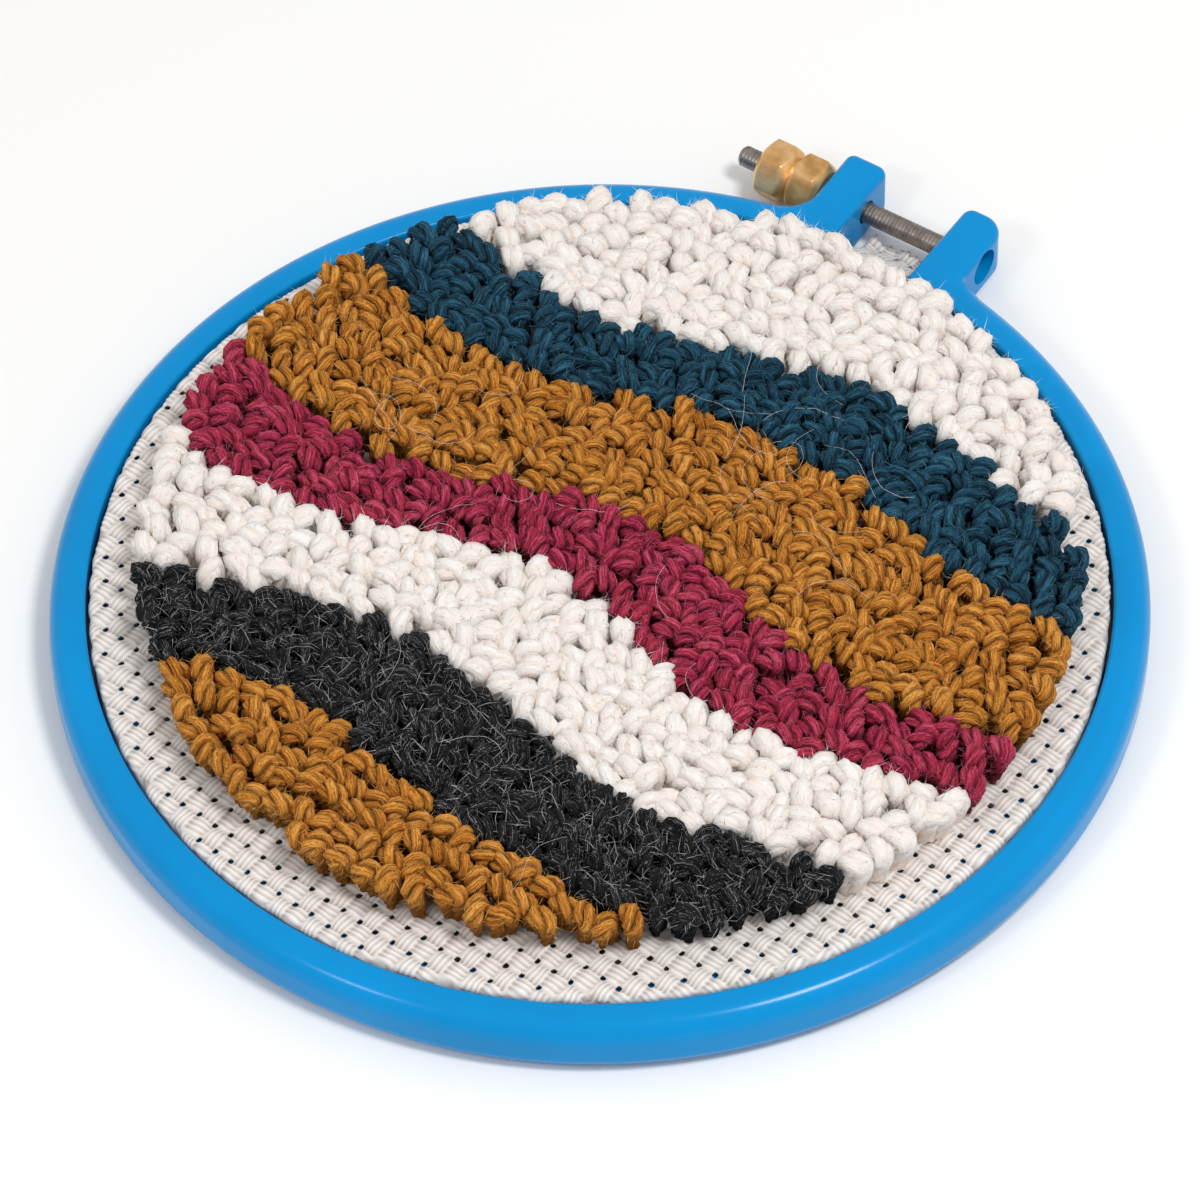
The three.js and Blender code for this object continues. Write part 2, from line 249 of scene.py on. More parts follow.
def yarnMaterial(name, spec):
    # plied wool: matt, soft edged, with fibres that run along each ply
    material, add = newMaterial(f"wool yarn {name}")
    place = add("ShaderNodeTexCoord", output="Object")
    strand = add("ShaderNodeAttribute", output="Vector", attribute_name="strand")
    shade = add("ShaderNodeAttribute", output="Fac", attribute_name="shade")
    unshadedShare = add("ShaderNodeAttribute", output="Fac", attribute_name="open")
    # 0.9 mm noise pushes the fibres sideways, so that they aren't clean stripes
    tangle = noiseOn(add, place, 1100, 2.0, output="Color")
    wander = add("ShaderNodeVectorMath", (tangle, (0.1, 0.75, 0.75), strand), operation="MULTIPLY_ADD")
    # bunched fibres about 0.25 mm across and 2 mm long, the palest of them proud of the rest
    fibres = noiseOn(add, wander, (0.6, 3.6, 3.6), 2.0)
    streak = add("ShaderNodeMapRange", {"Value": fibres, "From Min": 0.36, "From Max": 0.62})
    # a quarter of the tone is the loop's and its ply's own, the rest is the fibres'
    tone = add("ShaderNodeMix", {0: 0.25, 2: streak, 3: shade}, data_type="FLOAT")
    colour = ramp(add, tone, (0.08, spec["deep"]), (0.62, spec["light"]), (0.95, spec["pale"]))
    if spec["heather"]:
        # pale fibres, finer and longer than the bunches
        pale = noiseOn(add, wander, (0.3, 6.0, 6.0), 2.0, 0.5)
        some = ramp(add, pale, (0.58, 0.0), (0.65, spec["heather"]))
        colour = mixed(add, some, colour, linear(spec["loose"]))
    # painted shade: deep between plies and loops and low in the pile, the yarn turns to its darker shade
    # colour
    colour = mixed(add, unshadedShare, linear(spec["paintedShade"]), colour)
    nap = bumped(add, fibres, 0.9 * spec["nap"], 0.4)
    return shaded(material, {"Base Color": colour, "Roughness": 0.9, "Specular IOR Level": 0.15,
                             "Sheen Weight": spec["sheen"], "Sheen Roughness": 0.5,
                             "Sheen Tint": linear(spec["pale"]), "Normal": nap})


def fibreMaterial(name, colour):
    # single wool fibres that stand off the yarn and catch the light
    material, add = newMaterial(f"loose wool fibre {name}")
    place = add("ShaderNodeTexCoord", output="Object")
    tone = noiseOn(add, place, 400, 1.0)  # 2.5 mm, about one to a fibre
    tones = ramp(add, tone, (0.35, colour), (0.65, linear(colour, 1.25)))
    return shaded(material, {"Base Color": tones, "Roughness": 0.6})


def clothMaterial():
    # soft cotton; the threads are in the mesh, their twist and fuzz are bump
    material, add = newMaterial("basket weave cotton")
    weave = add("ShaderNodeUVMap", output="UV", uv_map="weave")
    groove = add("ShaderNodeAttribute", output="Fac", attribute_name="groove")
    tone = noiseOn(add, weave, (2.2, 2.2, 1.0))  # the map is in mm, so about 0.5 mm
    base = ramp(add, tone, (0.3, "#F3EDE8"), (0.7, "#FFFCF9"))
    # painted shade: the grooves and the bundles that go under are mixed towards a darker colour
    colour = mixed(add, groove, base, linear("#A3968D"))
    fuzz = noiseOn(add, add("ShaderNodeTexCoord", output="Object"), 5200, 2.0, 0.7)  # 0.2 mm ends
    bump = bumped(add, fuzz, 0.35, 0.12)
    return shaded(material, {"Base Color": colour, "Roughness": 0.85, "Sheen Weight": 0.2,
                             "Specular IOR Level": 0.3, "Normal": bump})


def plasticMaterial():
    # even blue with a soft gloss and faint handling marks
    material, add = newMaterial("moulded blue polypropylene")
    place = add("ShaderNodeTexCoord", output="Object")
    flow = noiseOn(add, place, 45)  # slow variation over 20 mm
    colour = ramp(add, flow, (0.3, "#0086C6"), (0.7, "#008ED2"))
    marks = noiseOn(add, place, 900, 4.0, 0.7)  # about 1 mm
    gloss = ramp(add, marks, (0.35, 0.15), (0.75, 0.20))
    bump = bumped(add, marks, 0.05, 0.004)
    return shaded(material, {"Base Color": colour, "Roughness": gloss, "IOR": 1.27, "Normal": bump})


def brassMaterial():
    # fine lines along the bar, and a tarnish that keeps it from being a clean mirror
    material, add = newMaterial("drawn brass bar")
    place = add("ShaderNodeTexCoord", output="Object")
    stain = noiseOn(add, place, 260, 2.0)  # about 4 mm
    colour = ramp(add, stain, (0.30, "#C89558"), (0.44, "#E0AE70"), (0.70, "#F8D29C"))
    lines = noiseOn(add, place, (90, 5200, 5200), 3.0, 0.7)  # 0.2 mm drawing lines
    gloss = ramp(add, lines, (0.3, 0.24), (0.7, 0.42))
    bump = bumped(add, lines, 0.25, 0.03)
    return shaded(material, {"Base Color": colour, "Roughness": gloss, "Metallic": 0.7, "Normal": bump})


def steelMaterial():
    # rolled thread, unevenly dull with dirt
    material, add = newMaterial("dull rolled steel")
    dirt = noiseOn(add, add("ShaderNodeTexCoord", output="Object"), 700, 4.0, 0.65)  # about 1.5 mm
    colour = ramp(add, dirt, (0.3, "#776C66"), (0.7, "#A39A93"))
    gloss = ramp(add, dirt, (0.3, 0.5), (0.7, 0.36))
    return shaded(material, {"Base Color": colour, "Roughness": gloss, "Metallic": 1.0})


yarnLook = {name: yarnMaterial(name, spec) for name, spec in yarnSpec.items()}
fibreLook = {name: fibreMaterial(name, spec["loose"]) for name, spec in yarnSpec.items()}
clothLook = clothMaterial()
plasticLook = plasticMaterial()
brassLook = brassMaterial()
steelLook = steelMaterial()
print("materials made")


# Hoop: the outer ring with its clamp lugs, and the plain inner ring. All edges are quarter rounds.

ringSpec = dict(inner=75, width=5.5, topEdge=3.4, bottomEdge=3.0, wallEdge=0.5, steps=288,
                edgeSteps=8, sharp=50)
# foot and corner are radii seen from above; each steps value divides the arc it is named for
lugSpec = dict(splitHalf=6.95, width=7.1, reach=92.6, edge=1.45, splitCorner=1.1, nearCorner=1.8,
               nutFoot=3.5, headFoot=1.4, nutCorner=1.5, headCorner=3.6, blend=4.5,
               splitSteps=8, nearSteps=12, farSteps=16)
screwSpec = dict(reach=85.8, height=5.3, radius=1.7, tip=-29.4, tipDrop=0.45, headRadius=2.5,
                 headThickness=1.2, headRim=0.3, rimSteps=4, pocketRadius=2.9, pocketFloor=10.45,
                 play=0.25, seat=0.3, pitch=0.6, threadDepth=0.07, plainLength=1.2, plainDrop=0.05,
                 step=0.15, sides=28, headSides=48, slotWidth=0.8, slotDepth=0.7, sharp=60,
                 headSharp=40, boreSides=64)
cutRoom = 1  # how far a cutting solid reaches past what it cuts
ringOuter = ringSpec["inner"] + ringSpec["width"]
lugFar = lugSpec["splitHalf"] + lugSpec["width"]
boreRadius = screwSpec["radius"] + screwSpec["play"]


def edgeSizes(x, y, inside):
    # the radii of the top and bottom edge: small on the lugs, growing into the ring's
    if inside:
        return ringSpec["wallEdge"], ringSpec["wallEdge"]
    share = smoothstep(abs(x) - lugFar, 0, lugSpec["blend"]) if y > 0 else 1.0
    return tuple(lugSpec["edge"] + (ringSpec[k] - lugSpec["edge"]) * share
                 for k in ("topEdge", "bottomEdge"))


def outlineArc(centre, radius, start, end, steps, outward, inside=False):
    # rows of place, outward direction and edge sizes
    rows = []
    for angle in np.linspace(start, end, steps + 1):
        c, s = math.cos(angle), math.sin(angle)
        x, y = centre[0] + radius * c, centre[1] + radius * s
        rows.append((x, y, outward * c, outward * s, *edgeSizes(x, y, inside)))
    return rows


def lugOutline(foot, farCorner):
    # from the inside corner of the split, out along it, round the lug and down to the ring
    s = lugSpec
    insideX = s["splitHalf"] + s["splitCorner"]
    insideY = math.sqrt((ringSpec["inner"] + s["splitCorner"]) ** 2 - insideX ** 2)
    hollowX = lugFar + foot
    hollowY = math.sqrt((ringOuter + foot) ** 2 - hollowX ** 2)
    near = (s["splitHalf"] + s["nearCorner"], s["reach"] - s["nearCorner"])
    end = (lugFar - farCorner, s["reach"] - farCorner)
    insideTurn = math.pi + math.atan2(insideY, insideX)
    hollowTurn = math.pi + math.atan2(hollowY, hollowX)
    quarter = math.pi / 2
    return (outlineArc((insideX, insideY), s["splitCorner"], insideTurn, math.pi, s["splitSteps"], 1, True)
            + outlineArc(near, s["nearCorner"], math.pi, quarter, s["nearSteps"], 1)
            + outlineArc(end, farCorner, quarter, 0, s["farSteps"], 1)
            + outlineArc((hollowX, hollowY), foot, math.pi, hollowTurn, s["farSteps"], -1))


def turnOf(row):
    return math.atan2(row[1], row[0])


def ringOutline():
    head = lugOutline(lugSpec["headFoot"], lugSpec["headCorner"])
    nut = [(-x, y, -nx, ny, top, bottom) for x, y, nx, ny, top, bottom in
           reversed(lugOutline(lugSpec["nutFoot"], lugSpec["nutCorner"]))]
    step = 2 * math.pi / ringSpec["steps"]
    outerFrom, outerTo = turnOf(head[-1]) - step, turnOf(nut[0]) - 2 * math.pi + step
    innerFrom, innerTo = turnOf(nut[-1]) - 2 * math.pi + step, turnOf(head[0]) - step
    outerSteps = round((outerFrom - outerTo) / step)
    innerSteps = round((innerTo - innerFrom) / step)
    loop = (head + outlineArc((0, 0), ringOuter, outerFrom, outerTo, outerSteps, 1) + nut
            + outlineArc((0, 0), ringSpec["inner"], innerFrom, innerTo, innerSteps, -1, True))
    return loop[::-1]


def aboutScrew(name, stations, radiusAt, sides):
    # stations along the screw's axis; radiusAt(x, angle) gives the surface; flat ends close it
    turns = np.linspace(0, 2 * math.pi, sides, endpoint=False)
    points = []
    for x in stations:
        for t in turns:
            r = radiusAt(x, t)
            points.append((x, screwSpec["reach"] + r * math.cos(t), screwSpec["height"] + r * math.sin(t)))
    last = (len(stations) - 1) * sides
    ends = [tuple(range(sides)), tuple(range(last, last + sides))]
    obj = meshObject(name, points, rowFaces(len(stations), sides) + ends)
    flipOutward(obj)
    return obj


def cylinderAboutScrew(name, radius, start, end):
    return aboutScrew(name, (start, end), lambda x, turn: radius, screwSpec["boreSides"])


def makeOuterRing():
    outline = ringOutline()
    n, steps = len(outline), ringSpec["edgeSteps"]
    levels = [("bottom", i / steps) for i in range(steps, -1, -1)]
    levels += [("top", i / steps) for i in range(steps + 1)]
    points = []
    for edge, share in levels:
        turn = share * math.pi / 2
        for x, y, nx, ny, top, bottom in outline:
            size = top if edge == "top" else bottom
            inset, rise = size * (1 - math.cos(turn)), size * (1 - math.sin(turn))
            z = ringTop - rise if edge == "top" else rise
            points.append((x - nx * inset, y - ny * inset, z))
    ends = [tuple(range(n - 1, -1, -1)), tuple(range((len(levels) - 1) * n, len(levels) * n))]
    ring = meshObject("hoop_outer_ring", points, rowFaces(len(levels), n) + ends)
    outside = lugFar + cutRoom
    cutAway(ring, cylinderAboutScrew("bore", boreRadius, -outside, outside),
            cylinderAboutScrew("pocket", screwSpec["pocketRadius"], screwSpec["pocketFloor"], outside))
    dress(ring, plasticLook, ringSpec["sharp"])
    even = ring.modifiers.new("even", "WEIGHTED_NORMAL")
    even.keep_sharp = True
    applyModifiers(ring)
    finishPiece(ring, "hoop", "plastic", "outer_ring")


innerSpec = dict(outer=73.4, width=4.0, top=7.7, edge=0.8, edgeSteps=5, steps=180)


def makeInnerRing():
    # its section is a rounded rectangle, turned about the hoop's axis
    s = innerSpec
    inside = s["outer"] - s["width"]
    corners = [(inside + s["edge"], s["edge"], 180), (s["outer"] - s["edge"], s["edge"], 270),
               (s["outer"] - s["edge"], s["top"] - s["edge"], 0),
               (inside + s["edge"], s["top"] - s["edge"], 90)]
    section = []
    for r, z, start in corners:
        for turn in np.radians(np.linspace(start, start + 90, s["edgeSteps"] + 1)):
            section.append((r + s["edge"] * math.cos(turn), z + s["edge"] * math.sin(turn)))
    points = [(r * math.cos(turn), r * math.sin(turn), z)
              for turn in np.linspace(0, 2 * math.pi, s["steps"], endpoint=False) for r, z in section]
    ring = meshObject("hoop_inner_ring", points, rowFaces(s["steps"], len(section), closed=True))
    flipOutward(ring)
    dress(ring, plasticLook, ringSpec["sharp"])
    finishPiece(ring, "hoop", "plastic", "inner_ring")


makeOuterRing()
makeInnerRing()
print("hoop made")


# Clamp screw and nut, both turned about the screw's axis

def makeScrew():
    s = screwSpec
    headStart = s["pocketFloor"] + s["seat"]
    headEnd = headStart + s["headThickness"]

    def shankRadius(x, turn):
        if x > headStart - s["plainLength"]:
            return s["radius"] - s["plainDrop"]
        tip = s["radius"] - s["tipDrop"] + max(0.0, x - s["tip"])
        phase = (x / s["pitch"] + turn / (2 * math.pi)) % 1.0
        ridge = 1 - abs(2 * phase - 1)
        return min(s["radius"] - s["threadDepth"] * (1 - ridge), tip)

    # the shank runs a little way into the head
    stations = list(np.arange(s["tip"], headStart + s["headRim"], s["step"]))
    shank = aboutScrew("screw_shank", stations, shankRadius, s["sides"])
    dress(shank, steelLook, s["sharp"])
    headRows = {headStart: s["headRadius"], headEnd - s["headRim"]: s["headRadius"]}
    for turn in np.linspace(0, math.pi / 2, s["rimSteps"] + 1)[1:]:
        x = headEnd - s["headRim"] + s["headRim"] * math.sin(turn)
        headRows[x] = s["headRadius"] - s["headRim"] + s["headRim"] * math.cos(turn)
    head = aboutScrew("screw_head", list(headRows), lambda x, turn: headRows[x], s["headSides"])
    half, long = s["slotWidth"] / 2, s["headRadius"] + cutRoom
    box = [(x, s["reach"] + y, s["height"] + z) for x in (headEnd - s["slotDepth"], headEnd + cutRoom)
           for y in (-half, half) for z in (-long, long)]
    boxFaces = [(0, 1, 3, 2), (4, 6, 7, 5), (0, 4, 5, 1), (2, 3, 7, 6), (0, 2, 6, 4), (1, 5, 7, 3)]
    slot = meshObject("screw slot", box, boxFaces)
    flipOutward(slot)
    cutAway(head, slot)
    dress(head, steelLook, s["headSharp"])
    finishPiece(shank, "hoop", "steel", "clamp_screw")
    finishPiece(head, "hoop", "steel")


# flats is the width across them; clear keeps the lathe's cut off the bar's corners; edge softens
# where a flat meets a turned surface
nutSpec = dict(flats=8.7, length=11, chamfer=1.1, endDrop=0.35, waistHalf=1.3, waistRadius=3.5,
               clear=0.1, edge=0.45, sides=96, step=0.2, fewest=6, sharp=28)


def makeNut():
    s = nutSpec
    right = -(lugFar + screwSpec["seat"])
    left = right - s["length"]
    middle = (left + right) / 2
    end = s["flats"] / 2 - s["endDrop"] - s["chamfer"] / 2
    bar = s["flats"] / math.sqrt(3) + s["clear"]

    def turned(x):
        # the lathe's cut: chamfers at both ends and a V waist between them
        slope = (bar - end) / s["chamfer"]
        ends = end + slope * min(x - left, right - x)
        waist = s["waistRadius"] + abs(x - middle) * (bar - s["waistRadius"]) / s["waistHalf"]
        return min(bar, ends, waist)

    def barRadius(turn):
        # a six-sided bar
        near = turn % (math.pi / 3) - math.pi / 6
        return s["flats"] / 2 / math.cos(near)

    def radiusAt(x, turn):
        # the lesser of the two, rounded over where they are nearly equal
        a, b, k = barRadius(turn), turned(x), s["edge"]
        h = max(k - abs(a - b), 0.0) / k
        return min(a, b) - h * h * k / 4

    bends = [left, left + s["chamfer"], middle - s["waistHalf"], middle, middle + s["waistHalf"],
             right - s["chamfer"], right]
    stations = []
    for a, b in zip(bends, bends[1:]):
        count = max(s["fewest"], int((b - a) / s["step"]))
        stations += list(np.linspace(a, b, count, endpoint=False))
    stations.append(right)
    nut = aboutScrew("clamp_nut_turned", stations, radiusAt, s["sides"])
    cutAway(nut, cylinderAboutScrew("nut bore", boreRadius, left - cutRoom, right + cutRoom))
    dress(nut, brassLook, s["sharp"])
    finishPiece(nut, "nut", "brass", "clamp_nut")


makeScrew()
makeNut()
print("clamp made")


# Ground cloth: basket weave, drawn over the inner ring, with a loose tongue in the split. A block
# is where two bundles of threads cross; pitchA and pitchB are its sides and cells its divisions.
# It is fine only in the band that shows, and hole is how far a hole's edge is drawn in.

clothSpec = dict(pitchA=3.0, pitchB=3.4, turn=-6.2, cells=8, reliefA=0.54, reliefB=0.34, threads=4,
                 groove=0.22, half=0.13, level=8.7, sway=0.12, wander=0.10, bendRadius=73.7, bend=0.5,
                 hem=1.0, fineFrom=64.6, fineTo=75.2, room=4, hole=1.1, holeCorner=0.92,
                 pressFrom=73.0, pressTo=74.6, pressed=0.5, tongueHalf=5.3, tongueReach=88.0,
                 tongueDrop=40, tongueBlend=0.9, tongueRoom=2, splitRoom=0.4, lowest=1.2)
pileSpec = dict(radius=65.9, middle=(0.4, 2.2), spacing=3.6, rowShare=0.93, scatter=0.8,
                edgeRoom=1.2, settling=36, apart=1.06, push=0.32, seed=11)
weaveTurn = math.radians(clothSpec["turn"])


def clothCut(x, y):
    # flat distance from the middle at which the cloth is cut
    s = clothSpec
    if y > 0 and abs(x) < s["tongueHalf"]:
        # the tongue's end is cut by hand, uneven by about a millimetre
        return s["tongueReach"] + 0.7 * math.sin(x * 2.3) + 0.5 * math.sin(x * 5.1 + 1)
    if y > 0 and abs(x) < lugSpec["splitHalf"] + s["splitRoom"]:
        return s["fineTo"]
    return s["bendRadius"] + s["bend"] * math.pi / 2 + (s["level"] - s["bend"] - s["hem"])


def blockLevel(x, y):
    # how finely a block of the weave is divided: only what shows needs its threads
    s = clothSpec
    if math.dist((x, y), pileSpec["middle"]) < s["fineFrom"]:
        return 1
    tongue = y > 0 and abs(x) < s["tongueHalf"] + s["tongueRoom"]
    return s["cells"] if math.hypot(x, y) < s["fineTo"] or tongue else 2


def clothFold(flat):
    # from the flat cloth to its place: level, then over the ring's edge, then down
    s = clothSpec
    x, y = flat[:, 0], flat[:, 1]
    radius = np.hypot(x, y)
    out = flat / np.maximum(radius, tiny)[:, None]
    aside = smoothstep(np.abs(x), s["tongueHalf"], s["tongueHalf"] + s["tongueBlend"])
    inTongue = (y > 0) * (1 - aside)
    last = np.radians(90 - (90 - s["tongueDrop"]) * inTongue)
    past = np.maximum(radius - s["bendRadius"], 0)
    turn = np.minimum(past / s["bend"], last)
    rest = np.maximum(past - last * s["bend"], 0)
    r = np.minimum(radius, s["bendRadius"]) + s["bend"] * np.sin(turn) + rest * np.cos(turn)
    z = s["level"] - s["bend"] * (1 - np.cos(turn)) - rest * np.sin(turn)
    # the tongue's end lies in a soft wave on the surface
    floor = s["lowest"] + 0.5 * np.sin(x * 0.9)
    z = np.where(inTongue > 0, np.maximum(z, floor), z)
    # the level part sways over some 50 mm
    z = z + s["sway"] * np.sin(x * 0.11 + 1) * np.sin(y * 0.13) * (past == 0)
    place = np.column_stack((out * r[:, None], z))
    normal = np.column_stack((out * np.sin(turn)[:, None], np.cos(turn)))
    return place, normal


def threadRelief(u, v):
    # u, v in blocks; the top of whichever bundle lies over, the grooves between its threads, and a mask of
    # painted shade
    s = clothSpec
    iu, iv = np.floor(u), np.floor(v)
    fu, fv = u - iu, v - iv
    over = (iu + iv) % 2 == 0
    across, along = np.where(over, fu, fv), np.where(over, fv, fu)
    arch = np.sin(np.pi * along) ** 0.8  # a rounder rise than a plain sine's
    shoulder = 1 - np.abs(2 * across - 1) ** 6  # flat across, dropping at the bundle's sides
    groove = 1 - np.abs(np.sin(np.pi * s["threads"] * across))
    groove = groove * ((across > 0.02) & (across < 0.98))  # none where two bundles meet
    # no two bundles and no two threads lie quite alike
    bundle = 1 + 0.16 * np.sin(iu * 12.9898 + iv * 78.233)
    strand = 1 + 0.22 * np.sin(np.floor(across * s["threads"]) * 4.7 + iu * 7.1 + iv * 3.3)
    height = np.where(over, s["reliefA"], s["reliefB"]) * bundle * (0.8 + 0.2 * strand)
    relief = height * arch * shoulder - s["groove"] * groove * np.sqrt(arch)
    # painted shade: dark in the grooves, and where a bundle goes under
    return relief, groove * 0.55 + (1 - arch * shoulder) * 0.45


def makeCloth():
    s = clothSpec
    n = s["cells"]
    along = np.array((math.cos(weaveTurn), math.sin(weaveTurn)))
    across = np.array((-along[1], along[0]))
    reach = int(s["tongueReach"] / min(s["pitchA"], s["pitchB"])) + 2  # blocks, two of them to spare

    def toFlat(i, j):
        return along * (i * s["pitchA"] / n) + across * (j * s["pitchB"] / n)

    levels = {}
    for bi in range(-reach, reach):
        for bj in range(-reach, reach):
            x, y = toFlat((bi + 0.5) * n, (bj + 0.5) * n)
            if math.hypot(x, y) < s["tongueReach"] + s["room"]:
                levels[bi, bj] = blockLevel(x, y)
    index, flats = {}, []

    def vertex(i, j):
        if (i, j) not in index:
            index[i, j] = len(flats)
            flats.append(toFlat(i, j))
        return index[i, j]

    def holeAt(i, j):
        # the weave has a hole at a corner where all four blocks are fine
        ci, cj = round(i / n), round(j / n)
        return all(levels.get((ci - a, cj - b)) == n for a in (0, 1) for b in (0, 1))

    def sidePoints(bi, bj, start, end, own):
        # grid points along one side of a cell, with the finer neighbour's between its ends
        (i0, j0), (i1, j1) = start, end
        other = None
        if i0 == i1 and i0 % n == 0:
            other = levels.get((i0 // n - (1 if i0 // n == bi else 0), bj))
        if j0 == j1 and j0 % n == 0:
            other = levels.get((bi, j0 // n - (1 if j0 // n == bj else 0)))
        size = n // max(own, other or 1)
        span = max(abs(i1 - i0), abs(j1 - j0))
        di, dj = (i1 - i0) // span, (j1 - j0) // span
        return [(i0 + di * k, j0 + dj * k) for k in range(0, span, size)]

    faces = []
    for (bi, bj), level in levels.items():
        size = n // level
        for ci in range(level):
            for cj in range(level):
                i, j = bi * n + ci * size, bj * n + cj * size
                x, y = toFlat(i + size / 2, j + size / 2)
                if math.hypot(x, y) > clothCut(x, y):
                    continue
                corner = ci in (0, n - 1) and cj in (0, n - 1)
                if level == n and corner and holeAt(i + (ci > 0), j + (cj > 0)):
                    continue
                corners = [(i, j), (i + size, j), (i + size, j + size), (i, j + size)]
                loop = []
                for a, b in zip(corners, corners[1:] + corners[:1]):
                    loop += sidePoints(bi, bj, a, b, level)
                faces.append([vertex(*p) for p in loop])
    flats = np.array(flats)
    # the threads wander by a tenth of a millimetre
    wander = s["wander"] * np.column_stack((np.sin(flats[:, 0] * 1.3 + 2 * np.sin(flats[:, 1] * 0.7)),
                                            np.sin(flats[:, 1] * 1.1 + 2 * np.sin(flats[:, 0] * 0.8))))
    moved = flats + wander
    # the eight points round each hole are drawn in, so that it is round and under a millimetre wide
    for (i, j), k in index.items():
        ci, cj = round(i / n) * n, round(j / n) * n
        if max(abs(i - ci), abs(j - cj)) == 1 and holeAt(i, j):
            rounder = s["holeCorner"] if abs(i - ci) + abs(j - cj) == 2 else 1.0
            moved[k] = toFlat(ci, cj) + wander[k] + (flats[k] - toFlat(ci, cj)) * s["hole"] * rounder
    keys = np.array(list(index.keys()))
    u, v = keys[:, 0] / n, keys[:, 1] / n
    relief, groove = threadRelief(u, v)
    under, _ = threadRelief(u + 1, v)
    place, normal = clothFold(moved)
    pressed = 1 - s["pressed"] * smoothstep(np.hypot(moved[:, 0], moved[:, 1]), s["pressFrom"], s["pressTo"])
    top = place + normal * (s["half"] + relief * pressed)[:, None]
    bottom = place - normal * (s["half"] + under * pressed)[:, None]
    count = len(flats)
    sides = [side for face in faces for side in zip(face, face[1:] + face[:1])]
    shared = set(sides)
    walls = [(a, a + count, b + count, b) for a, b in sides if (b, a) not in shared]
    allFaces = faces + [[k + count for k in reversed(face)] for face in faces] + walls
    cloth = meshObject("ground_cloth_woven", np.vstack((top, bottom)), allFaces)
    uvs = cloth.data.uv_layers.new(name="weave")
    flatTwice = np.vstack((flats, flats))
    loops = np.zeros(len(cloth.data.loops), dtype=np.int32)
    cloth.data.loops.foreach_get("vertex_index", loops)
    uvs.data.foreach_set("uv", flatTwice[loops].ravel())
    # the painted shade mask, kept for the cloth's material
    depth = cloth.data.attributes.new("groove", "FLOAT", "POINT")
    depth.data.foreach_set("value", np.concatenate((groove, groove)))
    dress(cloth, clothLook)
    finishPiece(cloth, "hoop", "cloth", "ground_cloth")
    return cloth


cloth = makeCloth()
print("cloth made")


# Yarn: one Geometry Nodes tree turns centre lines into plied strands with loose fibres

yarnInputs = {"Geometry": ["Geometry"], "Material": ["Yarn", "Fibre"],
              "Int": ["Plies", "Sides", "Fibre Segments", "Seed"],
              "Float": ["Ply Radius", "Ply Offset", "Twist Length", "Swell", "Fibre Density",
                        "Fibre Length", "Fibre Radius", "Fibre Floor", "Dark Below"]}
# a plain thread, for the inputs that a piece leaves out
plainStrand = {"Plies": 1, "Ply Offset": 0.0, "Twist Length": 1.0, "Swell": 0.0, "Seed": 0,
               "Fibre Density": 0.0, "Fibre Length": mm, "Fibre Radius": 0.02 * mm,
               "Fibre Segments": 1, "Fibre Floor": 1.0, "Dark Below": 0.0}
# lumpScale is lumps per metre; thinnest and lumpiness make each ply 0.74 to 1.26 of its radius;
# ridgeFrom and ridgeTo are where between the yarn's middle and its outside the painted shade of its
# folds ends; dimDepth is how far above Dark Below the painted shade of the pile begins, and dimmest
# how much of the unshaded colour is left at Dark Below
strandSpec = dict(lumpScale=420.0, thinnest=0.74, lumpiness=0.52, swellGain=1.25, loopTone=0.6,
                  plyTone=0.4, ridgeFrom=0.45, ridgeTo=0.92, dimDepth=4, dimmest=0.35)
# a fibre's bend in shares of its length, how it leans and turns in radians, and its length's share
fibreSpec = dict(curl=0.7, drop=-0.45, lean=(0.2, 1.25), aside=(-0.4, 0.4), spin=(0.0, 6.28),
                 length=(0.45, 1.6), seed=11)


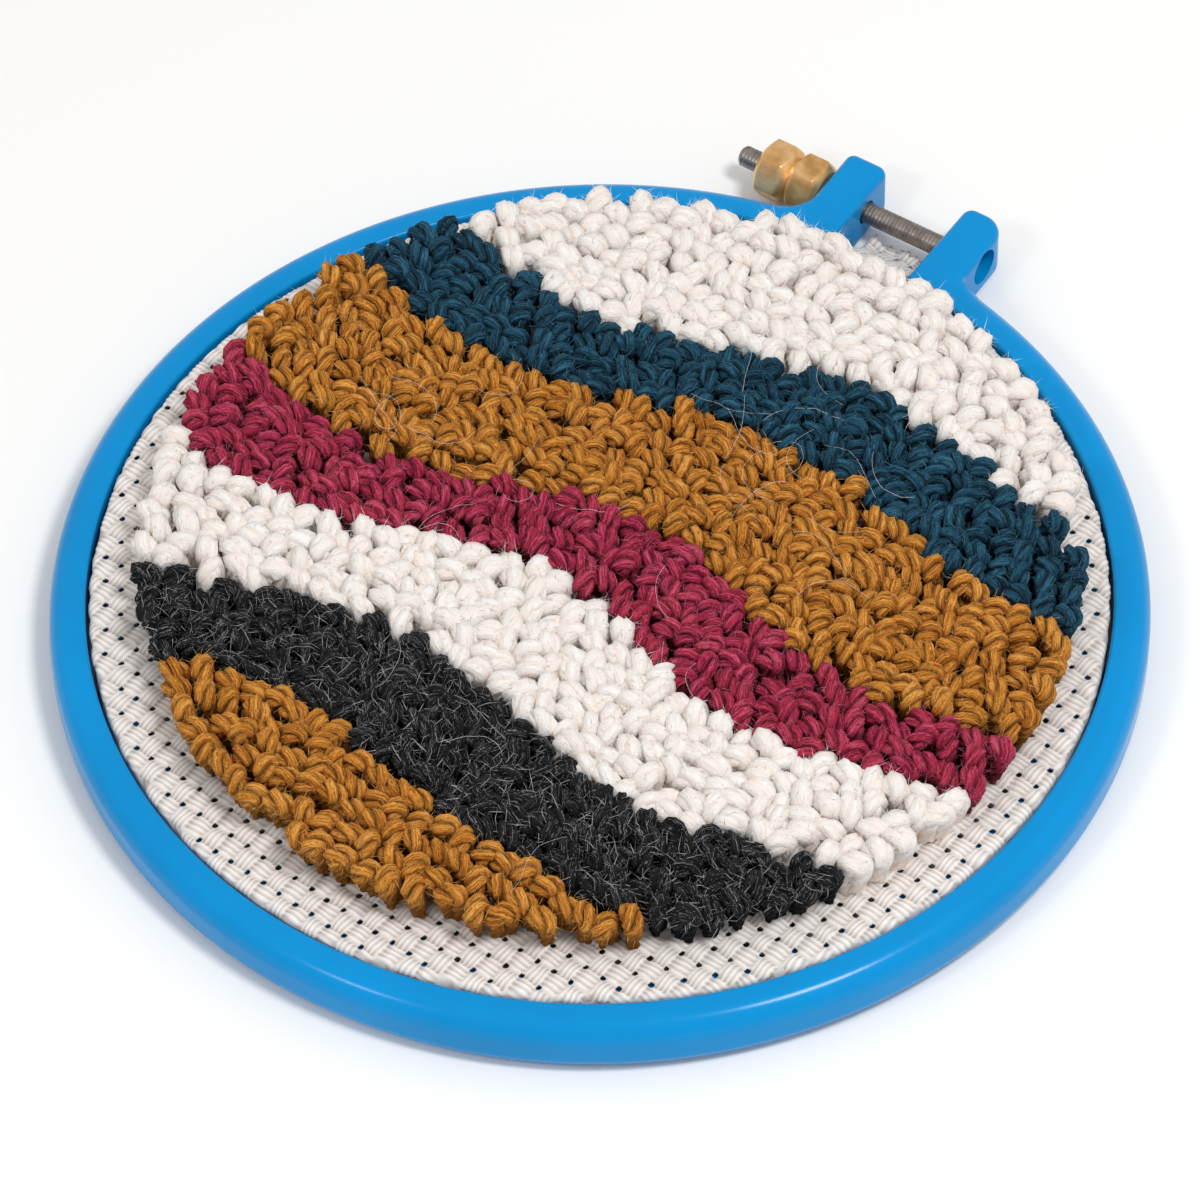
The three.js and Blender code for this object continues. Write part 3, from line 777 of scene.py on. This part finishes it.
def makeYarnTree():
    tree = bpy.data.node_groups.new("plied yarn", "GeometryNodeTree")
    for kind, names in yarnInputs.items():
        for name in names:
            tree.interface.new_socket(name, in_out="INPUT", socket_type=f"NodeSocket{kind}")
    tree.interface.new_socket("Geometry", in_out="OUTPUT", socket_type="NodeSocketGeometry")
    add = partial(addNode, tree)
    given = add("NodeGroupInput", output=None).outputs
    s, f, vectors = strandSpec, fibreSpec, "ShaderNodeVectorMath"

    def calc(operation, *inputs):
        return add("ShaderNodeMath", inputs, operation=operation)

    def randomly(low, high, index, seed):
        # 2, 3 and 1 are the node's sockets for plain numbers
        return add("FunctionNodeRandomValue", {2: low, 3: high, "ID": index, "Seed": seed}, 1,
                   data_type="FLOAT")

    # these read whichever geometry they end up in
    here = add("GeometryNodeInputPosition")
    height = add("ShaderNodeSeparateXYZ", (here,), "Z")
    along = add("GeometryNodeSplineParameter", output=None).outputs
    tone = add("GeometryNodeInputNamedAttribute", {"Name": "tone"}, "Attribute")
    phase = add("GeometryNodeInputNamedAttribute", {"Name": "phase"}, "Attribute")
    normal = add("GeometryNodeInputNormal", output="Normal")
    tangent = add("GeometryNodeInputTangent", output="Tangent")

    lines = add("GeometryNodeMeshToCurve", {"Mesh": given["Geometry"]}, "Curve")
    plies = add("GeometryNodeDuplicateElements", {"Geometry": lines, "Amount": given["Plies"]},
                None, domain="SPLINE").outputs
    kept = add("GeometryNodeCaptureAttribute", output=None, domain="POINT")
    for name, kind in (("length", "FLOAT"), ("ply", "FLOAT"), ("share", "FLOAT"), ("core", "VECTOR")):
        kept.capture_items.new(kind, name)
    fill(tree, kept, (plies["Geometry"], along["Length"], plies["Duplicate Index"], along["Factor"], here))
    curves, length, ply, share, core = kept.outputs[:5]

    # yarn is thin at the cloth, full at the top of the loop, and never quite even
    fullness = calc("SINE", calc("MULTIPLY", share, math.pi))
    least = calc("SUBTRACT", 1.0, given["Swell"])
    gain = calc("MULTIPLY", given["Swell"], s["swellGain"])
    swell = calc("MULTIPLY_ADD", fullness, gain, least)
    lumps = add("ShaderNodeTexNoise", {"Scale": s["lumpScale"], "Detail": 1.0}, "Fac")
    uneven = calc("MULTIPLY_ADD", lumps, s["lumpiness"], s["thinnest"])
    thickness = calc("MULTIPLY", swell, uneven)

    # the plies wind round the centre line, a share of a turn apart
    wound = calc("DIVIDE", length, given["Twist Length"])
    apart = calc("DIVIDE", ply, given["Plies"])
    angle = calc("MULTIPLY", calc("ADD", calc("ADD", wound, apart), phase), 2 * math.pi)
    cosine, sine = (calc(kind, angle) for kind in ("COSINE", "SINE"))
    side = add(vectors, (tangent, normal), operation="CROSS_PRODUCT")
    upward = add(vectors, {0: normal, "Scale": cosine}, operation="SCALE")
    sideways = add(vectors, {0: side, "Scale": sine}, operation="SCALE")
    around = add(vectors, (upward, sideways), operation="ADD")
    reach = calc("MULTIPLY", given["Ply Offset"], swell)
    offset = add(vectors, {0: around, "Scale": reach}, operation="SCALE")
    twisted = add("GeometryNodeSetPosition", {"Geometry": curves, "Offset": offset})
    circle = add("GeometryNodeCurvePrimitiveCircle",
                 {"Resolution": given["Sides"], "Radius": given["Ply Radius"]}, "Curve")
    section = add("GeometryNodeCaptureAttribute", output=None, domain="POINT")
    section.capture_items.new("FLOAT", "turn")
    fill(tree, section, (circle, along["Factor"]))
    mesh = add("GeometryNodeCurveToMesh", {"Curve": twisted, "Profile Curve": section.outputs[0],
                                           "Scale": thickness, "Fill Caps": True})

    # strand is a place in mm along the ply and round it, far apart for each ply of each loop
    turn = calc("MULTIPLY", section.outputs[1], 2 * math.pi)
    acrossPly, upPly = (calc(kind, turn) for kind in ("COSINE", "SINE"))
    farApart = calc("MULTIPLY", calc("ADD", phase, ply), 37.0)
    alongPly = calc("MULTIPLY_ADD", length, 1 / mm, farApart)
    strand = add("ShaderNodeCombineXYZ", (alongPly, acrossPly, upPly))
    # shade is each loop's own tone with each ply's; 997 keeps the plies of two loops apart
    plyId = calc("MULTIPLY_ADD", tone, 997.0, ply)
    plyTone = randomly(0.0, s["plyTone"], plyId, given["Seed"])
    shade = calc("MULTIPLY_ADD", tone, s["loopTone"], plyTone)
    # painted shade mask: 1 on the outside of the yarn at the top of the pile, 0 deep between
    # plies and loops, where the shade colour is painted
    fromCore = add(vectors, (here, core), "Value", operation="DISTANCE")
    reached = calc("ADD", given["Ply Radius"], given["Ply Offset"])
    outwards = calc("DIVIDE", fromCore, calc("MULTIPLY", reached, swell))
    ridge = add("ShaderNodeMapRange", {"Value": outwards, "From Min": s["ridgeFrom"],
                                       "From Max": s["ridgeTo"]})
    # the painted shade also deepens down the pile, towards Dark Below
    litAbove = calc("ADD", given["Dark Below"], s["dimDepth"] * mm)
    lit = add("ShaderNodeMapRange", {"Value": height, "From Min": given["Dark Below"],
                                     "From Max": litAbove, "To Min": s["dimmest"]})
    unshadedShare = calc("MULTIPLY", ridge, lit)
    for name, value, kind in (("strand", strand, "FLOAT_VECTOR"), ("shade", shade, "FLOAT"),
                              ("open", unshadedShare, "FLOAT")):
        mesh = add("GeometryNodeStoreNamedAttribute", {"Geometry": mesh, "Name": name, 3: value},
                   data_type=kind, domain="POINT")
    dressed = add("GeometryNodeSetMaterial", {"Geometry": mesh, "Material": given["Yarn"]})

    # loose fibres, only on the parts that show
    showing = calc("GREATER_THAN", height, given["Fibre Floor"])
    roots = add("GeometryNodeDistributePointsOnFaces",
                {"Mesh": mesh, "Selection": showing, "Density": given["Fibre Density"],
                 "Seed": given["Seed"]}, None).outputs
    # one fibre is a thin cone, one unit long; where it has segments it is bent
    perLength = calc("DIVIDE", given["Fibre Radius"], given["Fibre Length"])
    spike = add("GeometryNodeMeshCone", {"Vertices": 3, "Side Segments": given["Fibre Segments"],
                                         "Radius Bottom": perLength, "Depth": 1.0}, "Mesh")
    curl = calc("MULTIPLY", calc("MULTIPLY", height, height), f["curl"])
    drop = calc("MULTIPLY", curl, f["drop"])
    bend = add("ShaderNodeCombineXYZ", (curl, 0.0, drop))
    fibre = add("GeometryNodeSetPosition", {"Geometry": spike, "Offset": bend})
    index = add("GeometryNodeInputIndex")
    leanX, leanY, leanZ, scale = (randomly(*f[key], index, f["seed"] + k) for k, key in
                                  enumerate(("lean", "aside", "spin", "length")))
    lean = add("ShaderNodeCombineXYZ", (leanX, leanY, leanZ))
    turned = add("FunctionNodeEulerToRotation", (lean,))
    leaning = add("FunctionNodeRotateRotation", (roots["Rotation"], turned), rotation_space="LOCAL")
    size = calc("MULTIPLY", given["Fibre Length"], scale)
    hairs = add("GeometryNodeInstanceOnPoints", {"Points": roots["Points"], "Instance": fibre,
                                                 "Rotation": leaning, "Scale": size}, "Instances")
    hairs = add("GeometryNodeRealizeInstances", {"Geometry": hairs})
    hairs = add("GeometryNodeSetMaterial", {"Geometry": hairs, "Material": given["Fibre"]})
    both = add("GeometryNodeJoinGeometry", output=None)
    for part in (hairs, dressed):
        tree.links.new(part, both.inputs[0])
    smooth = add("GeometryNodeSetShadeSmooth", {"Geometry": both.outputs[0]})
    add("NodeGroupOutput", {"Geometry": smooth}, None)
    return tree


yarnTree = makeYarnTree()


def strandPiece(name, lines, phases, tones, values):
    # lines are arrays of points about the pile's middle; values fill the tree's named inputs
    values = {**plainStrand, **values}
    edges, start = [], 0
    for line in lines:
        edges += [(start + k, start + k + 1) for k in range(len(line) - 1)]
        start += len(line)
    obj = meshObject(name, np.vstack(lines) + (*pileSpec["middle"], 0), [], edges)
    counts = [len(line) for line in lines]
    for key, each in (("phase", phases), ("tone", tones)):
        attribute = obj.data.attributes.new(key, "FLOAT", "POINT")
        attribute.data.foreach_set("value", np.repeat(each, counts).astype(np.float32))
    modifier = obj.modifiers.new("yarn", "NODES")
    modifier.node_group = yarnTree
    for item in yarnTree.interface.items_tree:
        if item.name in values and item.in_out == "INPUT":
            modifier[item.identifier] = values[item.name]
    applyModifiers(obj)
    return obj


# Yarn fields: waved bands, the same as the solids'

fields = ["offwhite", "navy", "ochre", "raspberry", "offwhite", "charcoal", "ochre"]
fieldEdges = [  # where each edge lies, how far it swings, its wave length and its phase
    (41, 4.2, 96, 0.4), (26, 4.6, 90, 0.9), (2, 5.0, 86, 1.5),
    (-13, 4.6, 84, 2.0), (-33, 4.4, 88, 2.7), (-51, 3.4, 92, 3.2)]


def edgeHeight(edge, x):
    at, swing, length, phase = edge
    return at + swing * np.sin(2 * math.pi * x / length + phase)


def fieldAt(x, y):
    for number, edge in enumerate(fieldEdges):
        if y > edgeHeight(edge, x):
            return number
    return len(fields) - 1


def keptInField(spots, owner):
    # moved to the nearest place that leaves room to the field's edges and to the rim
    room = pileSpec["edgeRoom"]
    for number, edge in enumerate(fieldEdges):
        height = edgeHeight(edge, spots[:, 0])
        above, below = owner <= number, owner > number
        spots[above, 1] = np.maximum(spots[above, 1], height[above] + room)
        spots[below, 1] = np.minimum(spots[below, 1], height[below] - room)
    radius = np.hypot(spots[:, 0], spots[:, 1])
    return spots * np.minimum(1, pileSpec["radius"] / np.maximum(radius, tiny))[:, None]


def punchedHoles(random):
    # places for the loops, spread evenly inside each field by pushing neighbours apart
    s = pileSpec
    spacing, reach = s["spacing"], s["radius"]
    rows = np.arange(-reach, reach, spacing * s["rowShare"])
    spots = np.array([(x + (k % 2) * spacing / 2, y) for k, y in enumerate(rows)
                      for x in np.arange(-reach, reach, spacing)])
    spots = spots + random.uniform(-s["scatter"], s["scatter"], spots.shape)
    spots = spots[np.hypot(spots[:, 0], spots[:, 1]) < reach + s["scatter"]]
    owner = np.array([fieldAt(x, y) for x, y in spots])
    farOff = np.eye(len(spots)) * 99  # keeps a loop from pushing itself
    for _ in range(s["settling"]):
        apart = spots[:, None, :] - spots[None, :, :]
        distance = np.hypot(apart[..., 0], apart[..., 1]) + farOff
        push = np.clip(spacing * s["apart"] - distance, 0, None) / distance * s["push"]
        spots = keptInField(spots + (apart * push[..., None]).sum(axis=1), owner)
    return spots, owner


# A loop: half its width, how far its feet are from its middle, the height of its outside over
# the cloth, and how much each loop differs. Loops past rimFrom show their legs and lean outwards.
# the yarn is painted darker with painted shade below darkBelow plus strandSpec's dimDepth, most at darkBelow
loopSpec = dict(half=0.98, halfShare=(0.85, 1.3), root=0.75, top=8.55, topSpread=0.40,
                headingSpread=0.9, lean=0.42, leanPower=1.4, rimSteady=0.5, twist=0.5, legPoints=4,
                hiddenLegPoints=2, legPower=0.75, archPoints=8, rimFrom=58.0, rimLean=1.7, lift=0.35,
                sides=5, fibreFloor=13.0, darkBelow=11.5)


def loopLine(spot, yarnRadius, random):
    s = loopSpec
    half = s["half"] * random.uniform(*s["halfShare"])
    rise = s["top"] - yarnRadius + random.normal(0, s["topSpread"])
    heading = weaveTurn + random.normal(0, s["headingSpread"])
    twist = random.normal(0, s["twist"])
    lean = random.normal(0, s["lean"], 2)
    fromMiddle = math.hypot(*spot)
    outward = np.array(spot) / max(fromMiddle, tiny)
    rim = smoothstep(fromMiddle, s["rimFrom"], pileSpec["radius"])
    lean = lean * (1 - s["rimSteady"] * rim) + outward * s["rimLean"] * rim
    shoulder = rise - half
    legPoints = s["legPoints"] if fromMiddle > s["rimFrom"] else s["hiddenLegPoints"]
    legs = np.linspace(0, 1, legPoints, endpoint=False) ** s["legPower"]
    up = [(s["root"] + (half - s["root"]) * smoothstep(t, 0, 1), t * shoulder) for t in legs]
    arch = [(half * math.cos(a), shoulder + half * math.sin(a))
            for a in np.linspace(0, math.pi, s["archPoints"])]
    down = [(-u, z) for u, z in reversed(up)]
    line = []
    for u, z in up + arch + down:
        share = max(z, 0) / rise
        turn = heading + twist * share
        shift = lean * share ** s["leanPower"]
        line.append((spot[0] + u * math.cos(turn) + shift[0], spot[1] + u * math.sin(turn) + shift[1],
                     clothSpec["level"] + s["lift"] + z))
    return np.array(line)


# A stitch behind the cloth: half its length, its depth, where it enters the cloth, and its yarn,
# which is pulled thin. The rim's loops have none that would stand clear of the cloth.
stitchSpec = dict(half=1.75, deep=6.98, entry=7.75, headingSpread=0.12, ply=0.50, offset=0.42,
                  sides=4, rimRoom=1, darkBelow=-10)


def stitchLine(spot, random):
    s = stitchSpec
    heading = weaveTurn + random.normal(0, s["headingSpread"])
    rows = ((-1, s["entry"]), (-0.5, s["deep"]), (0.5, s["deep"]), (1, s["entry"]))
    return np.array([(spot[0] + share * s["half"] * math.cos(heading),
                      spot[1] + share * s["half"] * math.sin(heading), z) for share, z in rows])


def makeFields():
    random = np.random.default_rng(pileSpec["seed"])
    spots, owner = punchedHoles(random)
    print("loops", len(spots))
    for number, yarn in enumerate(fields):
        group = spots[owner == number]
        spec = yarnSpec[yarn]
        ending = f"{number + 1}_{yarn}"
        phases, tones = random.uniform(0, 1, len(group)), random.uniform(0, 1, len(group))
        common = {"Plies": 3, "Twist Length": spec["twist"] * mm, "Seed": number,
                  "Yarn": yarnLook[yarn], "Fibre": fibreLook[yarn],
                  "Fibre Radius": spec["fuzzRadius"] * mm, "Fibre Length": spec["fuzzLength"] * mm,
                  "Fibre Segments": spec["bends"]}
        yarnRadius = spec["ply"] + spec["offset"]
        pile = strandPiece(
            f"loops_{ending}", [loopLine(spot, yarnRadius, random) for spot in group], phases, tones,
            {**common, "Ply Radius": spec["ply"] * mm, "Ply Offset": spec["offset"] * mm,
             "Sides": loopSpec["sides"], "Fibre Density": spec["fuzz"] / mm ** 2,
             "Fibre Floor": loopSpec["fibreFloor"] * mm, "Swell": spec["swell"],
             "Dark Below": loopSpec["darkBelow"] * mm})
        finishPiece(pile, "hoop", f"yarn_{yarn}", f"pile_{ending}")
        inner = [spot for spot in group if math.hypot(*spot) < pileSpec["radius"] - stitchSpec["rimRoom"]]
        back = strandPiece(
            f"back_stitches_{ending}", [stitchLine(spot, random) for spot in inner],
            phases[:len(inner)], tones[:len(inner)],
            {**common, "Ply Radius": stitchSpec["ply"] * mm, "Ply Offset": stitchSpec["offset"] * mm,
             "Sides": stitchSpec["sides"], "Dark Below": stitchSpec["darkBelow"] * mm})
        finishPiece(back, "hoop", f"yarn_{yarn}", f"stitches_{ending}")


makeFields()
print("yarn fields made")


# Long pale fibres that have worked loose from the off-white yarn and lie over the pile: how many,
# inside what circle, their points and how far apart those are, how they curl, and their height

straySpec = dict(count=44, within=56, points=14, step=1.0, curl=0.06, wander=0.07, above=16.9,
                 lift=0.9, liftShare=(0.6, 1.2), radius=0.018, seed=23)


def makeStrays():
    s = straySpec
    random = np.random.default_rng(s["seed"])
    lines = []
    while len(lines) < s["count"]:
        x, y = random.uniform(-s["within"], s["within"], 2)
        if math.hypot(x, y) > s["within"]:
            continue
        heading, bend = random.uniform(0, 2 * math.pi), random.normal(0, s["curl"])
        line = []
        for k in range(s["points"]):
            lift = s["lift"] * math.sin(math.pi * k / s["points"]) * random.uniform(*s["liftShare"])
            line.append((x, y, s["above"] + lift))
            bend += random.normal(0, s["wander"])
            heading += bend
            x += s["step"] * math.cos(heading)
            y += s["step"] * math.sin(heading)
        lines.append(np.array(line))
    look = fibreLook["offwhite"]
    strays = strandPiece("stray_fibres", lines, np.zeros(len(lines)), np.full(len(lines), 0.5),
                         {"Ply Radius": s["radius"] * mm, "Sides": 3, "Yarn": look, "Fibre": look})
    finishPiece(strays, "hoop", "yarn_offwhite")


makeStrays()
print("stray fibres made")


# Floor and light. A lamp's place is across, away from the camera and up; then its size and watts.

stageSpec = dict(floorHalf=900, floorDrop=0.2, daylight=0.64)
lamps = [("key", (330, -240, 880), 230, 4.5), ("fill", (-480, -380, 700), 150, 1.0)]


def makeStage():
    far = stageSpec["floorHalf"]
    floor = meshObject("floor", [(-far, -far, 0), (far, -far, 0), (far, far, 0), (-far, far, 0)],
                       [(0, 1, 2, 3)])
    paper, _ = newMaterial("pale paper floor")
    floor.data.materials.append(shaded(paper, {"Base Color": linear("#F4F3F1"), "Roughness": 0.9}))
    floor.location.z = -stageSpec["floorDrop"] * mm
    world = bpy.data.worlds.new("studio")
    bpy.context.scene.world = world
    world.use_nodes = True
    fill(world.node_tree, world.node_tree.nodes["Background"],
         {"Color": linear("#FFFFFF"), "Strength": stageSpec["daylight"]})
    spin = Matrix.Rotation(math.radians(cameraView["turn"]), 3, "Z")
    for name, place, size, power in lamps:
        light = bpy.data.lights.new(name, "AREA")
        light.shape, light.size, light.energy = "DISK", size * mm, power
        lamp = newObject(name, light)
        lamp.location = spin @ Vector(place) * mm + hoopMiddle
        lamp.rotation_euler = (hoopMiddle - lamp.location).to_track_quat("-Z", "Y").to_euler()
    bpy.context.scene.view_settings.view_transform = "Standard"


makeStage()
print("stage set")
